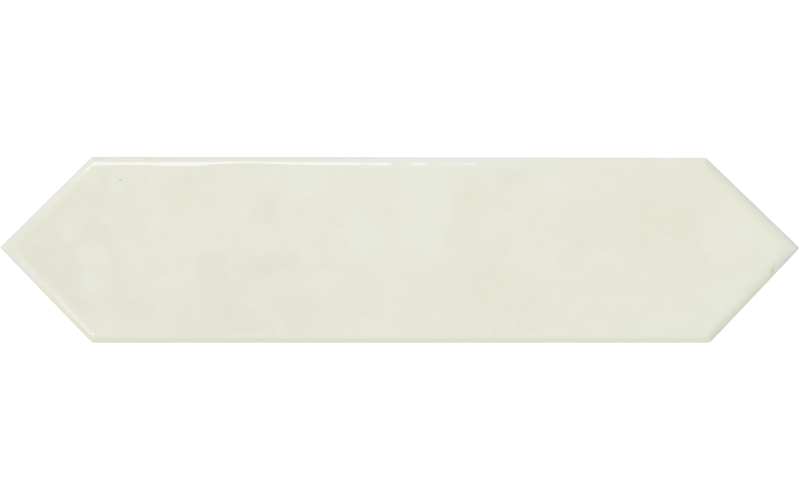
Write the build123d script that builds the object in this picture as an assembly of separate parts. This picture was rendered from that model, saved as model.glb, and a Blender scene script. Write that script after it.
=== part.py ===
from build123d import *
import os
from math import radians, sin, tan

# A picket tile: a long six-sided wall tile, pressed, glazed and fired as one piece.
# Units are millimetres and +Z is up. The tile lies on its back with the glazed face up and its
# length along X. The origin is the middle of the back, where two key ribs cross.

# Outline at its widest, where the rolled edge of the face meets the walls
TILE_LENGTH = 300.0  # over the two rounded tips
TILE_WIDTH = 70.0  # across the long sides
POINT_ANGLE = 90.0  # degrees between the two sides that meet in a tip
CORNER_RADIUS = 0.8  # of the six corners, seen from above

# Section through an edge
TILE_THICKNESS = 8.5
ROLL_WIDTH = 4.0  # how far inside the outline the face begins to roll down
ROLL_DROP = 1.8  # how far the face has come down at the outline
WALL_DRAFT = 2.0  # degrees that the walls lean in towards the back
BACK_BEVEL = 0.8  # width of the 45 degree bevel round the back

# Keyed back: a grid of ribs with shallow pockets for the adhesive between them
KEY_DEPTH = 0.8
KEY_BORDER = 3.0  # plain border between the bevel and the pockets
KEY_PITCH = 10.0  # distance from rib to rib, evened out to fit the back
RIB_CREST = 2.2  # width of a rib's flat crest
KEY_DRAFT = 35.0  # degrees that the pocket walls lean, so that they open towards the back

HALF_ANGLE = radians(POINT_ANGLE / 2)
WALL_TOP = TILE_THICKNESS - ROLL_DROP
BACK_INSET = WALL_TOP * tan(radians(WALL_DRAFT)) + BACK_BEVEL
POCKET_INSET = BACK_INSET + KEY_BORDER
SHARP_TIP = TILE_LENGTH / 2 + CORNER_RADIUS * (1 / sin(HALF_ANGLE) - 1)


def tip_at(inset):
    """X of the sharp tip of the outline when all six sides are moved inwards by inset."""
    return SHARP_TIP - inset / sin(HALF_ANGLE)


def outline_points(inset):
    """Sharp corners of the outline moved inwards by inset, counterclockwise from the +X tip."""
    tip = tip_at(inset)
    side = TILE_WIDTH / 2 - inset
    shoulder = tip - side / tan(HALF_ANGLE)
    half = [(tip, 0), (shoulder, side), (-shoulder, side)]
    return half + [(-x, -y) for x, y in half]


def outline(inset):
    return make_face(Polyline(*outline_points(inset), close=True))


def tile_blank():
    """The slab before its edges are shaped: straight walls above WALL_TOP and drafted ones below."""
    sharp = outline(0)
    rounded = fillet(sharp.vertices(), CORNER_RADIUS)
    foot = extrude(rounded, amount=WALL_TOP)
    walls = foot.faces().filter_by(Axis.Z, reverse=True)
    foot = draft(walls, Plane.XY.offset(WALL_TOP), -WALL_DRAFT)
    head = extrude(Pos(0, 0, WALL_TOP) * rounded, amount=ROLL_DROP)
    return foot + head


def edge_waste(start, end):
    """What the rolled edge and the back bevel leave off along the side from start to end.

    Both are drawn in the side's section, with x outwards from the outline and y up from the back.
    """
    along = (Vector(*end) - Vector(*start)).normalized()
    outwards = along.cross(Vector(0, 0, 1))
    section = Plane(origin=Vector(*start), x_dir=outwards, z_dir=-along)
    beyond = ROLL_WIDTH + BACK_BEVEL
    above = TILE_THICKNESS + ROLL_DROP

    roll = EllipticalCenterArc((-ROLL_WIDTH, WALL_TOP), ROLL_WIDTH, ROLL_DROP, arc_size=90)
    rest = Polyline(roll @ 1, (-ROLL_WIDTH, above), (beyond, above), (beyond, WALL_TOP), roll @ 0)
    bevel = Polyline((-BACK_INSET, 0), (beyond, 0), (beyond, beyond + BACK_INSET), close=True)
    profiles = make_face(roll + rest) + make_face(bevel)
    return extrude(section * profiles, amount=2 * TILE_LENGTH, both=True)


def key_rib(length):
    """A rib along X: its crest on the back, its foot widened by the draft at the pocket floor."""
    crest = RIB_CREST / 2
    foot = crest + KEY_DEPTH * tan(radians(KEY_DRAFT))
    profile = Polyline((-crest, 0), (crest, 0), (foot, KEY_DEPTH), (-foot, KEY_DEPTH), close=True)
    return extrude(Plane.YZ * make_face(profile), amount=length / 2, both=True)


def key_pockets():
    """The pockets of the back: one shallow recess, less the ribs that stand in it both ways.

    There is always a rib on each centre line, and the ribs cross where the slanted sides pass, so
    that the end pockets are clean triangles on a tile with a square point.
    """
    recess = extrude(outline(POCKET_INSET), amount=KEY_DEPTH, taper=KEY_DRAFT)
    half_width = TILE_WIDTH / 2 - POCKET_INSET
    rows = round(half_width / KEY_PITCH)
    row_pitch = half_width / rows
    half_length = tip_at(POCKET_INSET)
    columns = round(half_length / row_pitch)
    column_pitch = half_length / columns

    long_rib = key_rib(TILE_LENGTH)
    cross_rib = Rot(0, 0, 90) * key_rib(TILE_WIDTH)
    ribs = [Pos(0, row * row_pitch, 0) * long_rib for row in range(1 - rows, rows)]
    ribs += [Pos(column * column_pitch, 0, 0) * cross_rib for column in range(1 - columns, columns)]
    return recess - ribs


def picket_tile():
    corners = outline_points(0)
    sides = zip(corners, corners[1:] + corners[:1])
    tile = tile_blank() - [edge_waste(start, end) for start, end in sides]
    tile -= key_pockets()
    return tile.solid()


os.makedirs("parts", exist_ok=True)
tile = picket_tile()
tile.label = "picket_tile"
export_step(tile, "parts/picket_tile.step")
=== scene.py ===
from math import pi, radians, sqrt, tan

import bmesh
import bpy
import numpy as np
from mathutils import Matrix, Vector, geometry, noise


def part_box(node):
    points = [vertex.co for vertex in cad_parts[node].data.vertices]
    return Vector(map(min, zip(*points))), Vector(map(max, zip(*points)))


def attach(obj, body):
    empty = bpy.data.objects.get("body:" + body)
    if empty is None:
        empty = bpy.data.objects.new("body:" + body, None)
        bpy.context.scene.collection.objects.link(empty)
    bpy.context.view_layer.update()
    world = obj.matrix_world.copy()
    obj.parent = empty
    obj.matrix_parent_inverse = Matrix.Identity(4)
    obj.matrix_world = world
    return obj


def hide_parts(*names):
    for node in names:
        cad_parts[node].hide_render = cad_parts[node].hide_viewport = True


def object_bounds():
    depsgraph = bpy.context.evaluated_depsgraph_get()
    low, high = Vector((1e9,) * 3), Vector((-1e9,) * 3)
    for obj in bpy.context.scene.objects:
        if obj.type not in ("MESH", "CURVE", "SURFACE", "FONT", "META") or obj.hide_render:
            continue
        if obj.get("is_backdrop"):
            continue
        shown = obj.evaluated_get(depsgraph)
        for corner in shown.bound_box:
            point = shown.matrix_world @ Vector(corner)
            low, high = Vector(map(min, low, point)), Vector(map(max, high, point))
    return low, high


# A glazed picket tile on a pale floor, seen from straight above.
# Lengths are in metres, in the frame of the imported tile: its length along X, its glazed face up.

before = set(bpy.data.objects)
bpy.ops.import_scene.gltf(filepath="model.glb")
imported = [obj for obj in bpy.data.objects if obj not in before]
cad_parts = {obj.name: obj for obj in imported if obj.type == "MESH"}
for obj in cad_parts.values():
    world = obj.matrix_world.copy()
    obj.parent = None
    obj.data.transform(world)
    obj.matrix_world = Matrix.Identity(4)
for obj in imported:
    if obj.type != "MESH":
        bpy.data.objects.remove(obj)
cad_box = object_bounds()

MM = 0.001

# Outline of the tile, by its six sharp corners, counterclockwise from the right tip
HALF_LENGTH, HALF_WIDTH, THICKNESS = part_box("picket_tile")[1]
TIP_RADIUS = 0.8 * MM
SHARP_TIP = HALF_LENGTH + TIP_RADIUS * (sqrt(2) - 1)  # the tips are square
SHOULDER = SHARP_TIP - HALF_WIDTH
NOMINAL_CORNERS = np.array([
    (SHARP_TIP, 0), (SHOULDER, HALF_WIDTH), (-SHOULDER, HALF_WIDTH),
    (-SHARP_TIP, 0), (-SHOULDER, -HALF_WIDTH), (SHOULDER, -HALF_WIDTH),
])
KILN_SHIFTS = MM * np.array([(-0.09, 0.7), (-0.3, -0.4), (-0.2, 0), (0.16, 0.9), (-0.2, 0), (1.15, 0)])
CORNERS = NOMINAL_CORNERS + KILN_SHIFTS
OUTLINE_RADII = MM * np.array([0.65, 0.8, 0.4, 0.4, 0.6, 1.8])  # of the corners, at the outline
FACE_RADII = MM * np.array([4.0, 4.0, 5.0, 4.0, 3.0, 5.0])  # of the corners, where the roll begins
EDGE_WANDER = 0.08 * MM  # how far the fired outline strays inwards
EDGE_WANDER_SIZE = 12 * MM

# Section through an edge
ROLL_DROP = 1.8 * MM
ROLL_WIDTHS = MM * np.array([4.4, 3.7, 4.3, 4.4, 3.25, 4.3])  # of the six sides, from the right tip on
CORNER_ROLLS = MM * np.array([4.35, 4.05, 3.8, 4.7, 3.8, 3.8])  # width of the roll at the six corners
ROLL_ROUNDNESS = 0.5  # share of an ellipse in the section; the rest is a straight slope
SLOPE_SHARE = 0.4  # share of the width over which that slope is straight
ROLL_WAVER = 0.25 * MM  # how far the width strays in slow waves
ROLL_WAVER_SIZE = 30 * MM
ROLL_RIPPLE = 0.1 * MM  # and in quick ones
ROLL_RIPPLE_SIZE = 6 * MM
ROLL_BLEND = 14 * MM  # stretch next to a corner in which the roll of one side turns into the next
WALL_LEAN = tan(radians(2))
BACK_BEVEL = 0.8 * MM
EDGE_SOFTNESS = 0.15 * MM
WALL_TOP = THICKNESS - ROLL_DROP
BACK_INSET = WALL_TOP * WALL_LEAN + BACK_BEVEL
BEVEL_TOP = BACK_BEVEL / (1 - WALL_LEAN)
FACE_INSET = 8.5 * MM  # where the rings round the edge meet the grid of the face

# Width of the roll by X along sides 1 to 3, counted from the right tip, as the photograph shows it
DRAWN_ROLLS = {
    1: MM * np.array([
        (-115, 3.65), (-96, 3.75), (-89, 4.05), (-77, 4.1), (-73, 3.8), (-69, 3.2), (-63, 2.88),
        (-54, 2.82), (-46, 3.1), (-36, 3.4), (-20, 3.55), (-6, 3.75), (8, 3.65), (26, 3.85),
        (60, 3.8), (115, 3.6),
    ]),
    2: MM * np.array([(-150, 4.6), (-138, 4.6), (-130, 4.3), (-122, 3.95), (-115, 3.85)]),
    3: MM * np.array([(-150, 4.8), (-143, 4.75), (-136, 4.5), (-130, 4.3), (-122, 4.15), (-115, 3.95)]),
}

# Glaze: it ends on the walls in an uneven line, and is a little proud there; along some sides the roll
# carries painted shade, with a painted bluish reflection beside it, and painted shade at the rim
SHADE_AND_SHEEN_BANDS = np.array([0, 0, 0, 0, 1.0, 0.1])  # strength along each side of the painted shade band and of the painted reflection beside it
SHADE_BAND_START = 0.0  # shares of the roll's width at which the painted shade begins to come and to go
SHADE_BAND_END = 0.38
SHEEN_BAND_START = 0.45  # the same for the painted bluish reflection next to the painted shade
SHEEN_BAND_END = 0.8
BAND_FADE = 0.2  # share of the width over which both come and go
RIM_SHADES = np.array([  # strength of the painted shade at the rim where each side starts and ends
    (0.3, 0), (0, 0.6), (0.6, 0.6), (0.6, 1.5), (0, 0), (0.3, 0.9),
])
RIM_SHADE_REACH = 0.45  # share of the roll's width over which the rim's painted shade fades
RIM_SHADE_BLEND = 4 * MM  # stretch next to a corner in which the rim shade of one side turns into the next
RIM_SHADE_SPOTS = 0.8  # how unevenly the painted shade lies along the rim
RIM_SHADE_SPOT_SIZE = 2.5 * MM
GLAZE_REACH = 2.4 * MM  # mean length of wall below the roll that the glaze covers
GLAZE_RUNS = 0.77 * MM  # how far the line strays from that in broad runs
GLAZE_RUN_SIZE = 16 * MM
GLAZE_DRIPS = 0.44 * MM  # and in small ones
GLAZE_DRIP_SIZE = 4 * MM
GLAZE_FADE = 0.5 * MM
GLAZE_STEP = 0.12 * MM  # how far the glaze stands proud of the bare wall

# Keyed back
KEY_DEPTH = 0.8 * MM
KEY_BORDER = 3.0 * MM
KEY_PITCH = 10.0 * MM
RIB_CREST = 2.2 * MM
KEY_LEAN = tan(radians(35))
KEY_CORNER = 0.7 * MM
POCKET_INSET = BACK_INSET + KEY_BORDER

# Marks in the face: X, Y, radius and depth of each pit, with how dark its hollow is painted, and a chip
# in an edge
PITS = MM * np.array([
    (-104.6, 26.05, 0.75, 0.10), (-105.2, 25.95, 0.8, 0.08), (-105.9, 25.0, 0.8, 0.06),
    (-117.3, 9.2, 0.6, 0.05), (140.15, -7.3, 1.3, 0.07), (140.15, -8.0, 1.3, 0.07),
])
# painted shade in the hollow of each pit; the last two lie in the chip
PIT_SHADES = (0.95, 0.5, 0.5, 0.6, 0.22, 0.22)
PIT_SHADE_CORE = 0.1  # shares of a pit's radius between which its painted shade fades
PIT_SHADE_EDGE = 0.45
CHIP = MM * np.array([140.6, -8.0, 7.9])
CHIP_SIDE = 5  # counted from the right tip
CHIP_RADIUS = 1.5 * MM
CHIP_DEPTH = 0.3 * MM  # how far it goes inwards
CHIP_FALL = 0.7  # how far it goes down for each unit inwards
HUMPS = MM * np.array([  # X, inset, height and radius of humps on the back edge
    (-14.9, 2.8, 0.045, 1.5), (-3.6, 2.8, 0.04, 3.0), (10.4, 2.8, 0.057, 2.3), (29.6, 3.2, 0.068, 3.0),
])
WAVE_HEIGHT = 0.10 * MM  # of the slow waves in the pressed face
WAVE_SIZE = 60 * MM
RIPPLE_HEIGHT = 0.035 * MM  # of the quicker waves between them
RIPPLE_SIZE = 20 * MM
MEAN_DEPTH = 0.16 * MM  # of the waves below the highest level

# Mesh
LONG_CELLS = 280
SLANT_CELLS = 72
ROLL_RINGS = 26
WALL_RINGS = 14
BLEND_RINGS = 7  # between the roll and the grid of the face
INSIDE_ONLY = 1  # output type of a triangulation with triangles inside its loops alone
SAME_POINT = 1e-6  # distance within which it takes two points for one, in millimetres


# Curves and noise

NOISE_STEP = 17.3  # distance in the noise from one seed to the next


def smooth(value):
    """Smooth step from 0 at 0 to 1 at 1."""
    clipped = np.clip(value, 0, 1)
    return clipped * clipped * (3 - 2 * clipped)


def through(points, x):
    """Smooth curve through a list of (x, y) points."""
    xs, ys = points.T
    slopes = np.gradient(ys, xs)
    i = np.clip(np.searchsorted(xs, x) - 1, 0, len(xs) - 2)
    gap = xs[i + 1] - xs[i]
    t = np.clip((x - xs[i]) / gap, 0, 1)
    rise = ys[i + 1] - ys[i]
    bend = slopes[i] * gap * t * (1 - t) ** 2 - slopes[i + 1] * gap * t * t * (1 - t)
    return ys[i] + rise * smooth(t) + bend


def noise_at(points, size, seed):
    """Soft noise of about -1 to 1, in blobs of that size, at each point."""
    shift = Vector((0, 0, NOISE_STEP * seed))
    return np.array([noise.noise(Vector(p).to_3d() / size + shift) for p in points])


def unit(vectors):
    return vectors / np.linalg.norm(vectors, axis=-1, keepdims=True)


# Rings round the edge: all have the same number of points, spaced alike along the six sides

def graded(cells, finest=0.15, growth=1.3):
    """Places from 0 to 1 with short cells near both ends and even ones between."""
    from_end = np.minimum(np.arange(cells), np.arange(cells)[::-1])
    sizes = np.minimum(1, finest * growth ** from_end)
    return np.concatenate([[0], np.cumsum(sizes)]) / sizes.sum()


LONG_PLACES = graded(LONG_CELLS)
SLANT_PLACES = graded(SLANT_CELLS)
SIDE_PLACES = [SLANT_PLACES, LONG_PLACES, SLANT_PLACES] * 2
SIDE_STARTS = np.cumsum([0] + [len(places) - 1 for places in SIDE_PLACES])
RING_SIZE = SIDE_STARTS[-1]
SIDE = np.concatenate([np.full(len(places) - 1, k) for k, places in enumerate(SIDE_PLACES)])
NEXT_SIDE = (SIDE + 1) % 6
PLACE = np.concatenate([places[:-1] for places in SIDE_PLACES])

ALONG = unit(np.roll(CORNERS, -1, 0) - CORNERS)
INWARDS = np.stack([-ALONG[:, 1], ALONG[:, 0]], 1)
INWARDS_BEFORE = np.roll(INWARDS, 1, 0)
TURN_COSINES = (INWARDS * INWARDS_BEFORE).sum(1)
MITRES = (INWARDS + INWARDS_BEFORE) / (1 + TURN_COSINES)[:, None]  # a corner's move per inset
HALF_TURN_TANGENTS = np.sqrt((1 - TURN_COSINES) / (1 + TURN_COSINES))


def ring_points(inset, radii):
    """X and Y of a ring: the outline moved inwards by inset, its six corners rounded by radii."""
    starts = CORNERS[SIDE] + inset[:, None] * MITRES[SIDE]
    ends = CORNERS[NEXT_SIDE] + inset[:, None] * MITRES[NEXT_SIDE]
    points = starts + PLACE[:, None] * (ends - starts)
    for corner, at in ((SIDE, starts), (NEXT_SIDE, ends)):
        radius = radii[corner]
        reach = np.maximum(radius * HALF_TURN_TANGENTS[corner], 1e-9)
        share = (np.linalg.norm(points - at, axis=1) / reach)[:, None]
        towards = unit(unit(MITRES[corner]) * (1 - share) + INWARDS[SIDE] * share)
        rounded = at + radius[:, None] * (MITRES[corner] - towards)
        points = np.where(share < 1, rounded, points)
    return points


OUTLINE = ring_points(np.zeros(RING_SIZE), np.zeros(6))
WANDER = EDGE_WANDER * (0.5 + 0.5 * noise_at(OUTLINE, EDGE_WANDER_SIZE, 5))


def blended(values):
    """One value for each side, as it runs along a ring, with a smooth change at the corners."""
    result = values[SIDE]
    for corner, neighbour in ((SIDE, (SIDE - 1) % 6), (NEXT_SIDE, NEXT_SIDE)):
        share = 1 - smooth(np.linalg.norm(OUTLINE - CORNERS[corner], axis=1) / ROLL_BLEND)
        result = result + share * (values[neighbour] - values[SIDE]) / 2
    return result


def roll_widths():
    """Width of the roll along a ring."""
    waver = ROLL_WAVER * noise_at(OUTLINE, ROLL_WAVER_SIZE, 6)
    waver += ROLL_RIPPLE * noise_at(OUTLINE, ROLL_RIPPLE_SIZE, 7)
    widths = ROLL_WIDTHS[SIDE] + waver
    for k, drawn in DRAWN_ROLLS.items():
        widths = np.where(SIDE == k, through(drawn, OUTLINE[:, 0]), widths)
    for corner in (SIDE, NEXT_SIDE):
        away = np.linalg.norm(OUTLINE - CORNERS[corner], axis=1)
        widths = widths + (1 - smooth(away / ROLL_BLEND)) * (CORNER_ROLLS[corner] - widths)
    return widths


def rim_shade_shares():
    """Strength of the painted shade at the rim along a ring: it changes evenly along a side, but for its
    spots.
    """
    first, last = RIM_SHADES[SIDE].T
    shares = first + PLACE * (last - first)
    ends = ((SIDE, first, RIM_SHADES[SIDE - 1, 1]), (NEXT_SIDE, last, RIM_SHADES[NEXT_SIDE, 0]))
    for corner, here, beyond in ends:
        away = np.linalg.norm(OUTLINE - CORNERS[corner], axis=1)
        shares = shares + (1 - smooth(away / RIM_SHADE_BLEND)) * (beyond - here) / 2
    return shares * (1 + RIM_SHADE_SPOTS * noise_at(OUTLINE, RIM_SHADE_SPOT_SIZE, 8))


ROLLS = roll_widths()
SHADE_AND_SHEEN_SHARES = blended(SHADE_AND_SHEEN_BANDS)
RIM_SHADE_SHARES = rim_shade_shares()


def corner_radii(depth):
    """Radii of the corners of a ring, from its depth inside the outline."""
    roll = ROLL_WIDTHS.mean()
    radii = OUTLINE_RADII + (FACE_RADII - OUTLINE_RADII) * smooth(depth / roll)
    return radii * (1 - smooth((depth - roll) / (FACE_INSET - roll)))


def wall_inset(height):
    return (WALL_TOP - height) * WALL_LEAN


def ring(inset, height, depth=0):
    """Points of a ring at a height."""
    points = ring_points(inset, corner_radii(depth))
    return np.column_stack([points, np.full(RING_SIZE, height)])


def foot_rings():
    """Rings from the flat of the back over its bevel to the foot of the wall, with no glaze."""
    slope = EDGE_SOFTNESS * 0.7  # along the 45 degree bevel, in inset and in height
    section = [
        (BACK_INSET + 4 * EDGE_SOFTNESS, 0),
        (BACK_INSET + EDGE_SOFTNESS, 0),
        (BACK_INSET - slope, slope),
        (wall_inset(BEVEL_TOP) + slope, BEVEL_TOP - slope),
    ]
    for inset, height in section:
        yield ring(WANDER + inset + GLAZE_STEP, height), {"glaze": 0}


def wall_rings():
    """Rings up the wall, with the share of glaze and of the rim's painted shade on each of their points.
    """
    runs = GLAZE_RUNS * noise_at(OUTLINE, GLAZE_RUN_SIZE, 1)
    drips = GLAZE_DRIPS * noise_at(OUTLINE, GLAZE_DRIP_SIZE, 2)
    glaze_line = WALL_TOP - GLAZE_REACH + runs + drips
    for height in np.linspace(BEVEL_TOP + EDGE_SOFTNESS, WALL_TOP, WALL_RINGS, endpoint=False):
        cover = smooth((height - glaze_line) / GLAZE_FADE + 0.5)
        inset = wall_inset(height) + GLAZE_STEP * (1 - cover)
        yield ring(WANDER + inset, height), {"glaze": cover, "rim": RIM_SHADE_SHARES}


def roll_rise(share):
    """Share of its drop that the roll has risen by at a share of its width from the wall."""
    ellipse = np.sqrt(1 - (1 - share) ** 2)
    bend = 1 - SLOPE_SHARE
    left = np.clip((1 - share) / bend, 0, 1)
    slope = np.minimum(share, SLOPE_SHARE) + bend * (0.5 - left ** 3 + left ** 4 / 2)
    return ROLL_ROUNDNESS * ellipse + (1 - ROLL_ROUNDNESS) * slope / (SLOPE_SHARE + bend / 2)


def band(share, start, end):
    """Strength of a band of tint at a share of the roll's width, for the painted shade and the painted
    reflection: it comes at start and goes at end.
    """
    return smooth((share - start) / BAND_FADE) * (1 - smooth((share - end) / BAND_FADE))


def roll_rings():
    """Rings over the rolled edge, from the wall to the face."""
    for angle in np.linspace(0, pi / 2, ROLL_RINGS):
        share = 1 - np.cos(angle)
        inset = ROLLS * share
        height = WALL_TOP + ROLL_DROP * roll_rise(share)
        # painted shade in a band on the roll, with a painted bluish reflection beside it
        pool = SHADE_AND_SHEEN_SHARES * band(share, SHADE_BAND_START, SHADE_BAND_END)
        veil = SHADE_AND_SHEEN_SHARES * band(share, SHEEN_BAND_START, SHEEN_BAND_END)
        # painted shade at the rim of the roll
        rim = RIM_SHADE_SHARES * (1 - smooth(share / RIM_SHADE_REACH))
        yield ring(WANDER + inset, height, inset.mean()), {"pool": pool, "veil": veil, "rim": rim}


def face_rings():
    """Rings on the flat between the roll and the grid of the face."""
    for share in np.linspace(0, 1, BLEND_RINGS + 1)[1:]:
        inset = (WANDER + ROLLS) * (1 - share) + FACE_INSET * share
        yield ring(inset, THICKNESS, inset.mean()), {}


# Mesh of the tile

USUAL_MASKS = {"glaze": 1, "pool": 0, "veil": 0, "rim": 0}  # shares of the glaze and of the painted shade and reflection on a point of the face


class TileMesh:
    """Points and faces of the mesh while it grows, with the shares of glaze and of painted shade and
    reflection on each point.
    """

    def __init__(self):
        self.points = []
        self.coats = {name: [] for name in USUAL_MASKS}
        self.faces = []
        self.flat_faces = []

    def add(self, points, **coats):
        start = len(self.points)
        self.points.extend(map(tuple, points))
        for name, usual in USUAL_MASKS.items():
            self.coats[name].extend(np.broadcast_to(coats.get(name, usual), len(points)))
        return np.arange(start, start + len(points))

    def between(self, first, last, shares):
        """New points on the line between two points, at those shares of its length."""
        start, end = (np.array(self.points[i]) for i in (first, last))
        made = self.add(start + shares[:, None] * (end - start))
        return np.concatenate([[first], made, [last]])

    def face(self, *corners, flat=False):
        if flat:
            self.flat_faces.append(len(self.faces))
        self.faces.append(tuple(int(corner) for corner in corners))

    def bridge(self, first, second):
        """Quads between two closed loops with the same number of points."""
        for quad in zip(first, np.roll(first, -1), np.roll(second, -1), second):
            self.face(*quad)


def add_edge(mesh):
    """The whole edge, from the back to the face; returns its first and its last ring."""
    rings = []
    for maker in (foot_rings, wall_rings, roll_rings, face_rings):
        rings.extend(mesh.add(points, **coats) for points, coats in maker())
    for lower, upper in zip(rings, rings[1:]):
        mesh.bridge(lower, upper)
    return rings[0], rings[-1]


def side_nodes(ring_nodes, k):
    """Nodes of a ring along one side, with both its corners."""
    return np.append(ring_nodes, ring_nodes[0])[SIDE_STARTS[k]:SIDE_STARTS[k + 1] + 1]


def add_face(mesh, outer):
    """The face inside its outermost ring: a grid between the shoulders and a triangle at each tip."""
    sides = [side_nodes(outer, k) for k in range(6)]
    # The first and last node of a column lie on the long sides
    columns = [
        mesh.between(back, front, SLANT_PLACES[1:-1])
        for back, front in zip(sides[1], sides[4][::-1])
    ]
    for one, other in zip(columns, columns[1:]):
        for j in range(SLANT_CELLS):
            mesh.face(one[j], other[j], other[j + 1], one[j + 1])
    add_tip(mesh, sides[0], sides[5][::-1], columns[0])
    add_tip(mesh, sides[3], sides[2][::-1], columns[-1][::-1])


def add_tip(mesh, first, second, base):
    """Triangle of the face: two sides from its tip, and the base between their far ends."""
    tip, one, other = (np.array(mesh.points[i]) for i in (first[0], first[-1], second[-1]))
    rows = [second]
    for i in range(1, SLANT_CELLS):
        shares = SLANT_PLACES[1:SLANT_CELLS - i, None]
        made = mesh.add(tip + SLANT_PLACES[i] * (one - tip) + shares * (other - tip))
        rows.append(np.concatenate([[first[i]], made, [base[SLANT_CELLS - i]]]))
    rows.append(first[-1:])
    for row, beyond in zip(rows, rows[1:]):
        for j in range(len(beyond) - 1):
            mesh.face(row[j], beyond[j], beyond[j + 1], row[j + 1])
        mesh.face(row[-2], beyond[-1], row[-1])


def rounded_loop(polygon, inset, steps=4):
    """Convex polygon moved inwards by inset, with its corners rounded."""
    along = unit(np.roll(polygon, -1, 0) - polygon)
    inwards = np.stack([-along[:, 1], along[:, 0]], 1)
    loop = []
    for corner, first, last in zip(polygon, np.roll(inwards, 1, 0), inwards):
        mitre = (first + last) / (1 + first @ last)
        for share in np.linspace(0, 1, steps):
            towards = unit(first * (1 - share) + last * share)
            loop.append(corner + (inset + KEY_CORNER) * mitre - KEY_CORNER * towards)
    return np.array(loop)


def pocket_outlines():
    """Openings of the pockets: the cells between the ribs, cut off by the slanted sides."""
    half_width = HALF_WIDTH - POCKET_INSET
    rows = round(half_width / KEY_PITCH)
    row_pitch = half_width / rows
    half_length = SHARP_TIP - POCKET_INSET * sqrt(2)
    columns = round(half_length / row_pitch)
    column_pitch = half_length / columns
    rib = RIB_CREST / 2
    for row in range(rows):
        low = row * row_pitch + rib
        high = (row + 1) * row_pitch - (rib if row < rows - 1 else 0)
        for column in range(columns - row):
            near = column * column_pitch + rib
            far = (column + 1) * column_pitch - rib
            leg = half_length - low - near
            cell = np.array([(near, low), (far, low), (far, high), (near, high)])
            if column == columns - row - 1:
                cell = np.array([(near, low), (near + leg, low), (near, low + leg)])
            for mirror in ((1, 1), (-1, -1)):
                yield cell * mirror
            for mirror in ((1, -1), (-1, 1)):
                yield (cell * mirror)[::-1]


def add_back(mesh, outer):
    """The back inside its outermost ring: the crests of the ribs, and the pockets between them."""
    soft = EDGE_SOFTNESS
    section = [
        (-soft, 0), (-0.4 * soft, 0.3 * soft), (0.4 * soft, 1.1 * soft),
        ((KEY_DEPTH - soft) * KEY_LEAN, KEY_DEPTH - soft), (KEY_DEPTH * KEY_LEAN + soft, KEY_DEPTH),
    ]
    borders = [outer]
    for outline in pocket_outlines():
        loops = []
        for inset, height in section:
            loop = rounded_loop(outline, inset)
            loops.append(mesh.add(np.column_stack([loop, np.full(len(loop), height)]), glaze=0))
        for upper, lower in zip(loops, loops[1:]):
            mesh.bridge(upper, lower)
        mesh.face(*loops[-1], flat=True)
        borders.append(loops[0])

    nodes = np.concatenate(borders)
    owners = np.repeat(np.arange(len(borders)), [len(border) for border in borders])
    starts = np.cumsum([0] + [len(border) for border in borders])
    edges = [
        (start + i, start + (i + 1) % len(border))
        for start, border in zip(starts, borders) for i in range(len(border))
    ]
    flat = [Vector(mesh.points[i]).to_2d() / MM for i in nodes]
    triangles, sources = geometry.delaunay_2d_cdt(flat, edges, [], INSIDE_ONLY, SAME_POINT)[2:4]
    for triangle in triangles:
        corners = [sources[i][0] for i in triangle]
        owner = set(owners[corners])
        # A triangle with its three corners on one pocket lies in the pocket's opening
        if len(owner) > 1 or owner == {0}:
            mesh.face(*nodes[corners], flat=True)


def shaped(points):
    """The mesh points with the waves and pits of the face, the humps on its back edge and the chip."""
    waves = WAVE_HEIGHT * noise_at(points, WAVE_SIZE, 3)
    waves += RIPPLE_HEIGHT * noise_at(points, RIPPLE_SIZE, 4)
    depth = np.maximum(MEAN_DEPTH + waves, 0)
    for x, y, radius, pit in PITS:
        depth += pit * (1 - smooth(np.hypot(points[:, 0] - x, points[:, 1] - y) / radius))
    for x, inset, height, radius in HUMPS:
        away = np.hypot(points[:, 0] - x, points[:, 1] - HALF_WIDTH + inset)
        depth -= height * np.exp(-0.5 * (away / radius) ** 2)
    points[:, 2] -= depth * smooth((points[:, 2] - WALL_TOP) / ROLL_DROP)
    chipped = 1 - smooth(np.linalg.norm(points - CHIP, axis=1) / CHIP_RADIUS)
    return points + CHIP_DEPTH * chipped[:, None] * np.append(INWARDS[CHIP_SIDE], -CHIP_FALL)


def tile_object():
    mesh = TileMesh()
    back_ring, face_ring = add_edge(mesh)
    add_face(mesh, face_ring)
    add_back(mesh, back_ring)
    data = bpy.data.meshes.new("glazed_tile")
    data.from_pydata(shaped(np.array(mesh.points)).tolist(), [], mesh.faces)
    for name, shares in mesh.coats.items():
        mask = data.attributes.new(name, "FLOAT", "POINT")
        mask.data.foreach_set("value", np.array(shares, np.float32))
    work = bmesh.new()
    work.from_mesh(data)
    bmesh.ops.recalc_face_normals(work, faces=work.faces)
    work.to_mesh(data)
    work.free()
    data.shade_smooth()
    for i in mesh.flat_faces:
        data.polygons[i].use_smooth = False
    made = bpy.data.objects.new("glazed_tile", data)
    bpy.context.scene.collection.objects.link(made)
    return made


# Materials

def node(tree, kind, inputs, **settings):
    """New node with its settings, and its inputs linked or given a value; returns its first output."""
    made = tree.nodes.new(kind)
    for name, value in settings.items():
        setattr(made, name, value)
    for socket, value in inputs.items():
        if isinstance(value, bpy.types.NodeSocket):
            tree.links.new(value, made.inputs[socket])
        else:
            made.inputs[socket].default_value = value
    return made.outputs[0] if made.outputs else None


def maths(tree, operation, *values):
    return node(tree, "ShaderNodeMath", dict(enumerate(values)), operation=operation)


def vector_maths(tree, operation, *values):
    made = node(tree, "ShaderNodeVectorMath", dict(enumerate(values)), operation=operation)
    return made.node.outputs["Value"] if operation in ("LENGTH", "DOT_PRODUCT") else made


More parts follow.
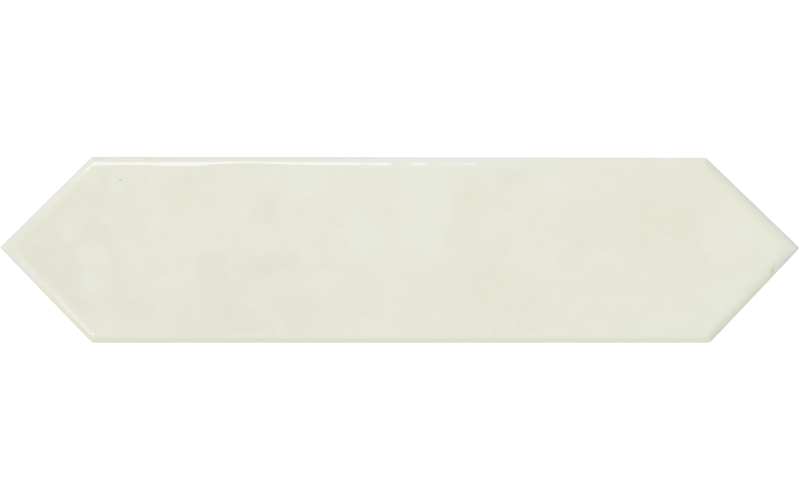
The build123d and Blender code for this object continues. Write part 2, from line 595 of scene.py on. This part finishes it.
def ramp(tree, value, low, high, to_low=0.0, to_high=1.0):
    """Value taken smoothly from low..high to to_low..to_high."""
    inputs = {"Value": value, "From Min": low, "From Max": high, "To Min": to_low, "To Max": to_high}
    return node(tree, "ShaderNodeMapRange", inputs, interpolation_type="SMOOTHSTEP")


def mix(tree, share, first, second):
    """Mix of two colours."""
    mixer = node(tree, "ShaderNodeMix", {0: share, 6: first, 7: second}, data_type="RGBA")
    return mixer.node.outputs[2]


def grain(tree, coords, size, detail=2.0, roughness=0.5):
    """Noise from 0 to 1 in blobs of that size."""
    inputs = {"Vector": coords, "Scale": 1 / size, "Detail": detail, "Roughness": roughness}
    return node(tree, "ShaderNodeTexNoise", inputs)


def attribute(tree, name):
    made = node(tree, "ShaderNodeAttribute", {}, attribute_name=name)
    return made.node.outputs["Fac"]


def new_tree(owner):
    owner.use_nodes = True
    owner.node_tree.nodes.clear()
    return owner.node_tree


def tinted(colour, *factors):
    return (*np.multiply(colour[:3], factors), 1)


# Colours of the glaze, and of the painted shade and reflections on it
IVORY = (0.799, 0.794, 0.650, 1)
WARM = tinted(IVORY, 0.978, 0.945, 0.933)
OLIVE = tinted(IVORY, 0.975, 0.979, 0.932)
DUSKY = tinted(IVORY, 0.948, 0.946, 0.948)
GREENISH = tinted(IVORY, 0.958, 1.014, 0.990)
YELLOWISH = tinted(IVORY, 1.02, 1.04, 0.92)
PALE = tinted(IVORY, 1.012, 1.025, 1.046)
# painted bluish reflection
SHEEN_TINT = tinted(IVORY, 1.015, 1.020, 1.065)
# painted shade, darker and greener, on the rolls of some sides and round the chip
EDGE_SHADE = tinted(IVORY, 0.935, 0.980, 0.885)
# painted bluish reflection beside that shade
BAND_SHEEN = tinted(IVORY, 0.995, 1.0, 1.055)
# painted shade at the rim of the edges
RIM_SHADE_TINT = tinted(IVORY, 0.920, 0.925, 0.975)
# painted shade in the pits and the chip
PIT_SHADE_TINT = (0.30, 0.28, 0.22, 1)
BISCUIT = (0.70, 0.635, 0.455, 1)
BISCUIT_DARK = (0.56, 0.495, 0.345, 1)

# Grain and gloss of the glaze and of the bare body
DRIFT_SIZE = 10 * MM  # of the swirls that break the outlines of the clouds
DRIFT_REACH = 18 * MM
BLOTCH_SIZE = 8 * MM
FRECKLE_SIZE = 1.3 * MM
PEEL_SIZE = 2.5 * MM
PEEL_HEIGHT = 0.004 * MM
GLOSS_SIZE = 12 * MM
GLOSS_ROUGHNESS = (0.035, 0.06)
GLAZE_IOR = 1.5
JAG_SIZE = 0.9 * MM  # of the jags in the edge of the glaze
STAIN_SIZE = 18 * MM
SPECK_SIZE = 0.5 * MM
CLAY_SIZE = 0.35 * MM
CLAY_HEIGHT = 0.06 * MM
BISCUIT_ROUGHNESS = 0.9

# Clouds in the glaze, in millimetres: X, Y, half length, half width and strength; some are painted light,
# as marked
CLOUD_CORE = 0.1  # in half sizes: a cloud is full inside this, and gone beyond the next
CLOUD_EDGE = 1.6
WARM_CLOUDS = [
    (-66, -20, 13, 13, 1.0), (-48, -6, 12, 6, 1.0), (-40, -23, 10, 8, 0.9), (-72, -8, 6, 6, 0.8),
    (-101, -21, 9, 10, 1.0), (-125, -14, 6, 6, 1.0), (-107, 7, 5, 4, 0.7), (30, -8, 5, 5, 0.7),
    (30, -17, 4, 4, 0.6), (49, -28, 4, 3, 0.8), (-128, 16, 4, 3, 0.5), (-85, 29, 14, 2, 0.4),
]
OLIVE_CLOUDS = [
    (-79, 20, 11, 8, 0.7), (-50, 12, 5, 7, 0.9), (-26, 1, 4, 9, 0.5), (-18, -20, 10, 11, 0.5),
    (-107, -7, 6, 5, 0.6), (-113, 8, 7, 3, 0.7), (-93, -10, 6, 5, 0.4), (25, 11, 6, 12, 0.6),
    (26, 20, 3, 3, 0.8), (33, -18, 22, 14, 0.6), (36, -2, 8, 4, 0.5), (70, 7, 12, 7, 0.6),
    (98, 12, 20, 13, 0.7), (103, 9, 6, 5, 0.6), (105, 28, 14, 5, 0.6), (113, -8, 5, 5, 0.5),
]
DUSKY_CLOUDS = [
    (-140, 1, 9, 8, 0.7), (-133, 6, 8, 6, 0.5), (-130, -8, 8, 6, 0.6), (-119, -20, 5, 8, 0.6),
    (-113, 22, 8, 6, 0.4), (-82, -24, 6, 8, 0.4), (35, 21, 6, 4, 0.4), (-47, 16, 4, 6, 0.4),
    (-80, 25, 4, 3, 0.5), (-27, -3, 3, 3, 0.5), (-13, -22, 3, 4, 0.6), (43, 26, 3, 3, 0.5),
    (-124, 3, 24, 30, 0.65), (-60, -31, 30, 5, 0.55),
]
GREENISH_CLOUDS = [
    (118, -31, 10, 5, 0.8), (128, -22, 7, 7, 0.9), (138, -12, 7, 7, 0.8), (100, -31, 16, 5, 0.7),
    (140, 5, 7, 7, 0.4), (120, -28, 6, 6, 0.6),
]
YELLOWISH_CLOUDS = [(135.7, -12.1, 2, 2, 0.9), (130, -17.7, 2, 2, 0.8), (126.7, -20.8, 2, 2, 0.8)]
# painted shade round the chip
CHIP_SHADE_CLOUDS = [(141, -6.8, 2.2, 2.2, 0.6)]
PALE_AND_HIGHLIGHT_CLOUDS = [
    (8, 25, 8, 10, 1.0), (8, 6, 9, 10, 0.7), (-16, 6, 7, 9, 0.9), (-36, 26, 9, 6, 0.7),
    # the first cloud on the next line is a painted highlight beside a pit
    (-105.6, 25.3, 1.6, 1.4, 0.8), (-104, 23, 3, 2.6, 0.9), (-115, -3, 5, 6, 0.6), (-115, -14, 5, 4, 0.5),
    (-125, 8, 5, 4, 0.6), (58, 24, 9, 6, 0.6), (122, 5, 8, 9, 0.6), (130, 8, 8, 9, 0.5),
    (52, -4, 6, 7, 0.5), (97, -27, 6, 6, 0.4), (120, -20, 10, 9, 0.3), (16, 22, 4, 10, 0.5),
    (-117, 26, 5, 4, 0.5),
]
# painted bluish reflection along the back edge, and at the left tip
SHEEN_CLOUDS = [(8, 35, 43, 4.5, 1.0), (-142, -9, 4, 4, 0.7)]


def clouds(tree, coords, patches):
    """Strength of the clouds at a point: soft ellipses, their outlines broken by the noise in coords."""
    total = 0.0
    for x, y, half_length, half_width, strength in patches:
        away = vector_maths(tree, "SUBTRACT", coords, (x * MM, y * MM, 0))
        scaled = vector_maths(tree, "MULTIPLY", away, (1 / half_length / MM, 1 / half_width / MM, 0))
        cover = ramp(tree, vector_maths(tree, "LENGTH", scaled), CLOUD_EDGE, CLOUD_CORE)
        total = maths(tree, "MULTIPLY_ADD", cover, strength, total)
    return total


def drifted(tree, coords, size, reach):
    """Coordinates moved about by noise."""
    swirl = node(tree, "ShaderNodeTexNoise", {"Vector": coords, "Scale": 1 / size, "Detail": 5.0})
    centred = vector_maths(tree, "SUBTRACT", swirl.node.outputs["Color"], (0.5, 0.5, 0.5))
    return vector_maths(tree, "MULTIPLY_ADD", centred, (reach, reach, 0), coords)


def glaze_colour(tree, coords):
    """Ivory glaze with faint clouds and freckles, painted shade on some rolls, at the rim, in the pits
    and round the chip, a painted highlight beside a pit, and painted bluish reflections along some edges.
    """
    drift = drifted(tree, coords, DRIFT_SIZE, DRIFT_REACH)
    blotches = grain(tree, coords, BLOTCH_SIZE, 4.0, 0.6)
    freckles = ramp(tree, grain(tree, coords, FRECKLE_SIZE, 3.0, 0.6), 0.5, 0.75)
    warm = clouds(tree, drift, WARM_CLOUDS)
    olive = maths(tree, "ADD", clouds(tree, drift, OLIVE_CLOUDS), ramp(tree, blotches, 0.45, 0.8, 0, 0.7))
    pale_and_highlight = maths(tree, "ADD", clouds(tree, drift, PALE_AND_HIGHLIGHT_CLOUDS), ramp(tree, blotches, 0.5, 0.2, 0, 0.7))
    dark = maths(tree, "ADD", warm, olive)
    freckled = maths(tree, "MULTIPLY", freckles, ramp(tree, dark, 0, 1, 0.35, 1.0))
    dusky = maths(tree, "ADD", clouds(tree, drift, DUSKY_CLOUDS), freckled)
    greenish = clouds(tree, drift, GREENISH_CLOUDS)
    yellowish = clouds(tree, coords, YELLOWISH_CLOUDS)
    sheen = clouds(tree, coords, SHEEN_CLOUDS)
    painted_shade = maths(tree, "ADD", clouds(tree, coords, CHIP_SHADE_CLOUDS), attribute(tree, "pool"))
    # among these layers, the shade band, the rim shade and the chip's shade are painted shade, the sheen
    # and the band beside the shade are painted reflections, and one pale cloud is a painted highlight
    layers = [
        (warm, WARM), (olive, OLIVE), (dusky, DUSKY), (greenish, GREENISH), (yellowish, YELLOWISH),
        (pale_and_highlight, PALE), (sheen, SHEEN_TINT), (painted_shade, EDGE_SHADE), (attribute(tree, "veil"), BAND_SHEEN),
        (attribute(tree, "rim"), RIM_SHADE_TINT),
    ]
    colour = IVORY
    for share, tint in layers:
        colour = mix(tree, share, colour, tint)
    # painted shade in the hollow of each pit and of the chip
    for (x, y, radius, _), stain in zip(PITS, PIT_SHADES):
        away = vector_maths(tree, "SUBTRACT", coords, (x, y, 0))
        flat = vector_maths(tree, "MULTIPLY", away, (1, 1, 0))
        distance = vector_maths(tree, "LENGTH", flat)
        pit = ramp(tree, distance, PIT_SHADE_EDGE * radius, PIT_SHADE_CORE * radius, 0, stain)
        colour = mix(tree, pit, colour, PIT_SHADE_TINT)
    return colour


def biscuit_colour(tree, coords):
    """Bare fired body: buff clay with grains and slow stains."""
    stain = ramp(tree, grain(tree, coords, STAIN_SIZE, 3.0), 0.35, 0.7, 0, 0.6)
    specks = ramp(tree, grain(tree, coords, SPECK_SIZE, 2.0, 0.7), 0.58, 0.75, 0, 0.7)
    return mix(tree, maths(tree, "ADD", stain, specks), BISCUIT, BISCUIT_DARK)


def glazed_body():
    material = bpy.data.materials.new("glazed_body")
    tree = new_tree(material)
    coords = node(tree, "ShaderNodeTexCoord", {}).node.outputs["Object"]

    ragged = maths(tree, "MULTIPLY_ADD", grain(tree, coords, JAG_SIZE), 0.5, attribute(tree, "glaze"))
    glazed = ramp(tree, ragged, 0.65, 0.8)
    colour = mix(tree, glazed, biscuit_colour(tree, coords), glaze_colour(tree, coords))

    gloss = ramp(tree, grain(tree, coords, GLOSS_SIZE), 0.3, 0.7, *GLOSS_ROUGHNESS)
    inputs = {0: glazed, 2: BISCUIT_ROUGHNESS, 3: gloss}
    roughness = node(tree, "ShaderNodeMix", inputs, data_type="FLOAT")

    peel = maths(tree, "MULTIPLY", grain(tree, coords, PEEL_SIZE, 1.0), PEEL_HEIGHT)
    clay = maths(tree, "MULTIPLY", grain(tree, coords, CLAY_SIZE, 3.0, 0.7), CLAY_HEIGHT)
    heights = node(tree, "ShaderNodeMix", {0: glazed, 2: clay, 3: peel}, data_type="FLOAT")
    bump = node(tree, "ShaderNodeBump", {"Strength": 1.0, "Distance": 1.0, "Height": heights})

    shader = node(tree, "ShaderNodeBsdfPrincipled", {
        "Base Color": colour, "Roughness": roughness, "IOR": GLAZE_IOR, "Normal": bump,
    })
    node(tree, "ShaderNodeOutputMaterial", {"Surface": shader})
    return material


tile = tile_object()
tile.data.materials.append(glazed_body())
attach(tile, "root")
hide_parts("picket_tile")


# Floor, light and camera

FLOOR_HALF = 6.0
FLOOR_WHITE = (0.8, 0.8, 0.8, 1)
FLOOR_ROUGHNESS = 0.9
FLOOR_GLOW = 0.5
CAMERA_HEIGHT = 2.5  # above the top of the walls
PHOTO_WIDTH = 800
TILE_PIXELS = 799.2  # length of the tile in the photograph
TILE_CENTRE_PIXELS = (399.6, 249.65)
FRAME_CENTRE_PIXELS = (400, 250)
SENSOR = 36
BRIGHT_SIDE = (-0.835, -0.010, 0.550)  # direction that most of the soft light comes from
DIM_COSINE = -0.41  # cosines from that direction between which the sky turns bright
BRIGHT_COSINE = 0.09
DIM_LEVEL = 0.26
BRIGHT_LEVEL = 1.0
TABLE_LEVEL = 0.795  # light from below the horizon, as from a pale table
TABLE_TOP = -0.02  # heights of a direction between which the table gives way to the sky
SKY_FOOT = 0.18
BACK_TINT = (0.98, 1.0, 1.06, 1)
TABLE_TINT = (1.0, 1.0, 1.2, 1)
DAYLIGHT = (1.0, 1.0, 1.4)
SOFTBOX_HEIGHT = 1.2
SOFTBOXES = [  # name, X and Y, size, radiance, turn in degrees, and whether it shows in the gloss alone
    ("window", (-0.1688, 0.66), (0.3225, 0.84), 3.05, 0, False),
    ("window_corner", (-0.475, 0.79), (0.29, 0.58), 3.2, 0, True),
    ("window_side", (-0.6873, 0.6562), (0.164, 0.54), 3.3, 45, True),
    ("window_pane", (0.024, 0.70), (0.014, 0.40), 5.6, 0, True),
    ("lamp", (-0.5148, -0.4752), (0.076, 0.22), 26.0, -45, True),
    ("lamp_side", (-0.7601, -0.5834), (0.06, 0.70), 1.05, -45, True),
]


def add_floor():
    corners = [(-FLOOR_HALF, -FLOOR_HALF, 0), (FLOOR_HALF, -FLOOR_HALF, 0),
               (FLOOR_HALF, FLOOR_HALF, 0), (-FLOOR_HALF, FLOOR_HALF, 0)]
    data = bpy.data.meshes.new("floor")
    data.from_pydata(corners, [], [(0, 1, 2, 3)])
    floor = bpy.data.objects.new("floor", data)
    bpy.context.scene.collection.objects.link(floor)
    paper = bpy.data.materials.new("floor_paper")
    tree = new_tree(paper)
    shader = node(tree, "ShaderNodeBsdfPrincipled", {
        "Base Color": FLOOR_WHITE, "Roughness": FLOOR_ROUGHNESS,
        "Emission Color": (1, 1, 1, 1), "Emission Strength": FLOOR_GLOW,
    })
    node(tree, "ShaderNodeOutputMaterial", {"Surface": shader})
    data.materials.append(paper)
    # The floor throws no light back, so that the edges of the tile keep their shade
    floor.visible_diffuse = False
    floor.visible_glossy = False
    floor.visible_shadow = False
    floor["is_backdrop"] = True


def add_sky():
    """Soft light from all round, weaker from the right."""
    world = bpy.data.worlds.new("studio")
    bpy.context.scene.world = world
    tree = new_tree(world)
    direction = node(tree, "ShaderNodeTexCoord", {}).node.outputs["Generated"]
    side = vector_maths(tree, "DOT_PRODUCT", direction, BRIGHT_SIDE)
    back = vector_maths(tree, "DOT_PRODUCT", direction, (0, 1, 0))
    height = vector_maths(tree, "DOT_PRODUCT", direction, (0, 0, 1))
    above = ramp(tree, side, DIM_COSINE, BRIGHT_COSINE, DIM_LEVEL, BRIGHT_LEVEL)
    raised = ramp(tree, height, TABLE_TOP, SKY_FOOT)
    level = node(tree, "ShaderNodeMix", {0: raised, 2: TABLE_LEVEL, 3: above}, data_type="FLOAT")
    tint = mix(tree, ramp(tree, back, 0.0, 1.0), (1, 1, 1, 1), BACK_TINT)
    colour = mix(tree, raised, TABLE_TINT, tint)
    sky = node(tree, "ShaderNodeBackground", {"Color": colour, "Strength": level})
    node(tree, "ShaderNodeOutputWorld", {"Surface": sky})


def add_softbox(name, centre, size, radiance, turn, gloss_only):
    """Panel of daylight that faces down, turned about Z; gloss_only keeps it out of the diffuse light."""
    light = bpy.data.lights.new(name, "AREA")
    light.color = DAYLIGHT
    light.shape = "RECTANGLE"
    light.size, light.size_y = size
    light.energy = radiance * pi * size[0] * size[1]
    softbox = bpy.data.objects.new(name, light)
    softbox.location = (*centre, SOFTBOX_HEIGHT)
    softbox.rotation_euler.z = radians(turn)
    softbox.visible_camera = False
    softbox.visible_diffuse = not gloss_only
    bpy.context.scene.collection.objects.link(softbox)


def add_camera():
    data = bpy.data.cameras.new("camera")
    camera = bpy.data.objects.new("camera", data)
    pixel = 2 * HALF_LENGTH / TILE_PIXELS
    data.sensor_width = SENSOR
    data.lens = SENSOR * CAMERA_HEIGHT / (PHOTO_WIDTH * pixel)
    data.clip_end = 4 * FLOOR_HALF
    right = (FRAME_CENTRE_PIXELS[0] - TILE_CENTRE_PIXELS[0]) * pixel
    up = (TILE_CENTRE_PIXELS[1] - FRAME_CENTRE_PIXELS[1]) * pixel
    camera.location = (right, up, CAMERA_HEIGHT + WALL_TOP)
    bpy.context.scene.collection.objects.link(camera)
    bpy.context.scene.camera = camera


add_floor()
add_sky()
for softbox in SOFTBOXES:
    add_softbox(*softbox)
add_camera()
bpy.context.scene.view_settings.view_transform = "Standard"

boxes = {"cad": cad_box, "visual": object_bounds()}
{name: [list(corner) for corner in box] for name, box in boxes.items()}
